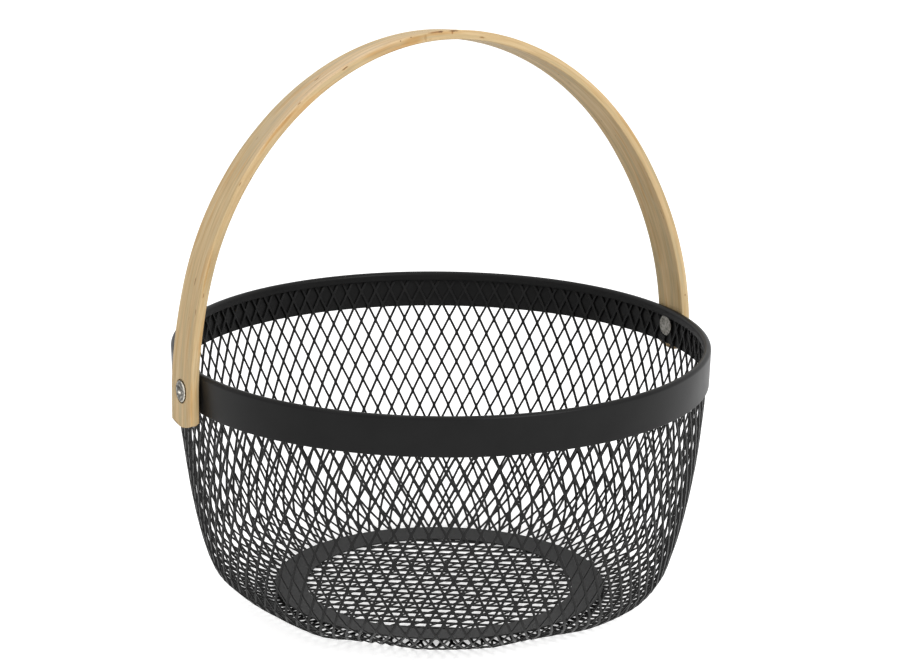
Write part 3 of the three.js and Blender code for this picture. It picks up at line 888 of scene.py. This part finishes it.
def lay_grain(piece):
    """Stores how far along the strip, back from its middle and out from its middle each point lies."""
    middle, along, length = strip_line()
    upright = Matrix.Rotation(LEAN, 3, "X")
    places = np.array([upright @ (v.co - Vector((0, 0, pivot_height))) for v in piece.data.vertices])
    flat = places[:, [0, 2]]
    nearest = ((flat[:, None, :] - middle[None, :, :]) ** 2).sum(axis=2).argmin(axis=1)
    offset = flat - middle[nearest]
    step = along[nearest]
    run = length[nearest] + (offset * step).sum(axis=1)
    out = offset[:, 0] * step[:, 1] - offset[:, 1] * step[:, 0]
    grain = np.stack([run, places[:, 1], out], axis=1).astype(np.float32)
    laid = piece.data.attributes.new("grain", "FLOAT_VECTOR", "POINT")
    laid.data.foreach_set("vector", grain.ravel())


handle = handle_strip()
strip_outer = STRIP_INNER + STRIP_THICKNESS
beyond = strip_outer + STRIP_THICKNESS
for radius, inner_x in ((HOLE, STRIP_INNER - STRIP_THICKNESS), (RECESS, strip_outer - RECESS_DEPTH)):
    right = (radius, (inner_x, 0, pivot_height), (beyond, 0, pivot_height))
    left = (radius, (LEFT_SEAT_SHIFT - inner_x, 0, pivot_height), (-beyond, 0, pivot_height))
    cut(handle, [right, left])
lay_grain(handle)
handle.data.set_sharp_from_angle(angle=math.radians(40))


def pale_wood():
    """Fine straight grain along the strip, with soft bands, pores and a few small brown flecks."""
    material = bpy.data.materials.new("pale wood")
    material.use_nodes = True
    nodes, links = material.node_tree.nodes, material.node_tree.links
    shader = nodes["Principled BSDF"]
    shader.inputs["Specular IOR Level"].default_value = 0.3
    where = nodes.new("ShaderNodeAttribute")
    where.attribute_name = "grain"

    def stretched(scale):
        """The strip's own coordinates, drawn out along its length."""
        mapping = nodes.new("ShaderNodeMapping")
        mapping.inputs["Scale"].default_value = scale
        links.new(where.outputs["Vector"], mapping.inputs["Vector"])
        return mapping.outputs["Vector"]

    def clouds(vector, detail, roughness=0.5):
        texture = nodes.new("ShaderNodeTexNoise")
        texture.inputs["Scale"].default_value = 1
        texture.inputs["Detail"].default_value = detail
        texture.inputs["Roughness"].default_value = roughness
        links.new(vector, texture.inputs["Vector"])
        return texture.outputs["Fac"]

    def ramp(value, stops):
        shades = nodes.new("ShaderNodeValToRGB")
        while len(shades.color_ramp.elements) < len(stops):
            shades.color_ramp.elements.new(0.5)
        for element, (position, colour) in zip(shades.color_ramp.elements, stops):
            element.position = position
            element.color = (*colour, 1)
        links.new(value, shades.inputs["Fac"])
        return shades.outputs["Color"]

    def tinted(wood, tint, share=1.0):
        """A colour with a share of a tint laid over it."""
        mix = nodes.new("ShaderNodeMix")
        mix.data_type = "RGBA"
        mix.blend_type = "MULTIPLY"
        mix.inputs["Factor"].default_value = share
        links.new(wood, mix.inputs["A"])
        links.new(tint, mix.inputs["B"])
        return mix.outputs["Result"]

    bands = ramp(clouds(stretched(BAND_PACE), detail=2), BAND_SHADES)
    fibres = ramp(clouds(stretched(FIBRE_PACE), detail=3, roughness=0.6), FIBRE_SHADES)
    streaks = ramp(clouds(stretched(STREAK_PACE), detail=2, roughness=0.4), STREAK_SHADES)
    flecks = ramp(clouds(stretched(FLECK_PACE), detail=2, roughness=0.4), FLECK_SHADES)
    colour = tinted(bands, fibres, share=0.9)
    colour = tinted(colour, streaks, share=0.9)
    colour = tinted(colour, flecks)
    ragged = nodes.new("ShaderNodeTexNoise")
    ragged.inputs["Scale"].default_value = MARK_RAGGED
    links.new(where.outputs["Vector"], ragged.inputs["Vector"])
    shifted = nodes.new("ShaderNodeVectorMath")
    shifted.operation = "MULTIPLY_ADD"
    shifted.inputs[1].default_value = (MARK_SHIFT, MARK_SHIFT, MARK_SHIFT)
    links.new(ragged.outputs["Color"], shifted.inputs[0])
    links.new(where.outputs["Vector"], shifted.inputs[2])
    for run, back, out, half_run, half_back, half_out, tint in MARKS:
        centred = nodes.new("ShaderNodeVectorMath")
        centred.operation = "SUBTRACT"
        centred.inputs[1].default_value = [0.001 * c + MARK_SHIFT / 2 for c in (run, back, out)]
        links.new(shifted.outputs["Vector"], centred.inputs[0])
        shrunk = nodes.new("ShaderNodeVectorMath")
        shrunk.operation = "DIVIDE"
        shrunk.inputs[1].default_value = [0.001 * c for c in (half_run, half_back, half_out)]
        links.new(centred.outputs["Vector"], shrunk.inputs[0])
        distance = nodes.new("ShaderNodeVectorMath")
        distance.operation = "LENGTH"
        links.new(shrunk.outputs["Vector"], distance.inputs[0])
        mark = ramp(distance.outputs["Value"], [(MARK_CORE, tint), (1.0, CLEAR)])
        colour = tinted(colour, mark)
    links.new(colour, shader.inputs["Base Color"])
    pores = clouds(stretched(PORE_PACE), detail=2)
    bump = nodes.new("ShaderNodeBump")
    bump.inputs["Strength"].default_value = 0.35
    bump.inputs["Distance"].default_value = 0.00008
    links.new(pores, bump.inputs["Height"])
    links.new(bump.outputs["Normal"], shader.inputs["Normal"])
    rough = nodes.new("ShaderNodeMapRange")
    rough.inputs["To Min"].default_value = 0.52
    rough.inputs["To Max"].default_value = 0.7
    links.new(pores, rough.inputs["Value"])
    links.new(rough.outputs["Result"], shader.inputs["Roughness"])
    return material


handle.data.materials.append(pale_wood())
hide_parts("handle")
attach(handle, "handle")

# Floor
# A plain white sheet that runs out of the picture, and a white world round it. Both are pure white to
# the camera and in reflections, and the floor still takes the basket's shadow.
FLOOR_HALF = 6.0
FLOOR_DROP = 0.0002
FLOOR_SHADE = 0.86
FLOOR_GLOW = 0.58
floor = mesh_object(
    "floor",
    [(x * FLOOR_HALF, y * FLOOR_HALF, -FLOOR_DROP) for x, y in ((-1, -1), (1, -1), (1, 1), (-1, 1))],
    [[0, 1, 2, 3]],
)


def seen_directly(nodes, links):
    """1 for rays from the camera, from a gloss or through glass, and 0 for all others."""
    ray = nodes.new("ShaderNodeLightPath")
    total = ray.outputs["Is Camera Ray"]
    for kind in ("Is Glossy Ray", "Is Transmission Ray"):
        either = nodes.new("ShaderNodeMath")
        either.operation = "MAXIMUM"
        links.new(total, either.inputs[0])
        links.new(ray.outputs[kind], either.inputs[1])
        total = either.outputs["Value"]
    return total


paper = bpy.data.materials.new("white paper")
paper.use_nodes = True
paper_nodes, paper_links = paper.node_tree.nodes, paper.node_tree.links
paper_shader = paper_nodes["Principled BSDF"]
paper_shader.inputs["Base Color"].default_value = (FLOOR_SHADE, FLOOR_SHADE, FLOOR_SHADE, 1)
paper_shader.inputs["Roughness"].default_value = 0.9
paper_shader.inputs["Specular IOR Level"].default_value = 0
paper_shader.inputs["Emission Color"].default_value = (1, 1, 1, 1)
glow = paper_nodes.new("ShaderNodeMath")
glow.operation = "MULTIPLY"
glow.inputs[1].default_value = FLOOR_GLOW
paper_links.new(seen_directly(paper_nodes, paper_links), glow.inputs[0])
paper_links.new(glow.outputs["Value"], paper_shader.inputs["Emission Strength"])
floor.data.materials.append(paper)

# Light
# A big soft lamp high in front and a little to the right, a weak one on the left, one overhead, and the
# even light of a white room.
WORLD_LIGHT = 0.61
LAMP_SIZE = 0.9
LAMP_AIM = (0, 0, 0.1)
world = bpy.data.worlds.new("studio")
bpy.context.scene.world = world
world.use_nodes = True
sky_nodes, sky_links = world.node_tree.nodes, world.node_tree.links
sky = sky_nodes["Background"]
sky_strength = sky_nodes.new("ShaderNodeMapRange")
sky_strength.inputs["To Min"].default_value = WORLD_LIGHT
sky_strength.inputs["To Max"].default_value = 1.0
sky.inputs["Color"].default_value = (1, 1, 1, 1)
sky_links.new(seen_directly(sky_nodes, sky_links), sky_strength.inputs["Value"])
sky_links.new(sky_strength.outputs["Result"], sky.inputs["Strength"])


def soft_lamp(name, place, watts):
    """A square lamp that points at the basket."""
    lamp = bpy.data.lights.new(name, "AREA")
    lamp.size = LAMP_SIZE
    lamp.energy = watts
    holder = bpy.data.objects.new(name, lamp)
    holder.location = place
    holder.rotation_euler = (Vector(LAMP_AIM) - Vector(place)).to_track_quat("-Z", "Y").to_euler()
    bpy.context.scene.collection.objects.link(holder)


soft_lamp("key lamp", (0.35, -1.4, 1.3), watts=16)
soft_lamp("fill lamp", (-1.2, -0.3, 1.1), watts=1.5)
soft_lamp("top lamp", (-0.1, 0.3, 1.9), watts=5)

# Camera
# It stands where the photo was taken from: found by fitting the rim, the band and the ring in the photo.
CAMERA_DISTANCE = 1.15268
CAMERA_AZIMUTH = math.radians(-27.72)
CAMERA_ELEVATION = math.radians(15.857)
AIM_HEIGHT = 0.1
PAN, TILT, ROLL = (math.radians(a) for a in (-0.201, 0.278, -0.490))
PHOTO_WIDTH = 900
FOCAL_PIXELS = 2898.885
back = Vector((0, -math.cos(CAMERA_ELEVATION), math.sin(CAMERA_ELEVATION)))
camera_data = bpy.data.cameras.new("camera")
camera_data.sensor_width = 36
camera_data.lens = FOCAL_PIXELS * camera_data.sensor_width / PHOTO_WIDTH
camera = bpy.data.objects.new("camera", camera_data)
aim = Matrix.Rotation(math.pi / 2 - CAMERA_ELEVATION, 4, "X")
hand = Matrix.Rotation(PAN, 4, "Y") @ Matrix.Rotation(TILT, 4, "X") @ Matrix.Rotation(-ROLL, 4, "Z")
stand = Matrix.Translation(Vector((0, 0, AIM_HEIGHT)) + back * CAMERA_DISTANCE)
camera.matrix_world = Matrix.Rotation(CAMERA_AZIMUTH, 4, "Z") @ stand @ aim @ hand
bpy.context.scene.collection.objects.link(camera)
bpy.context.scene.camera = camera
bpy.context.scene.view_settings.view_transform = "Standard"
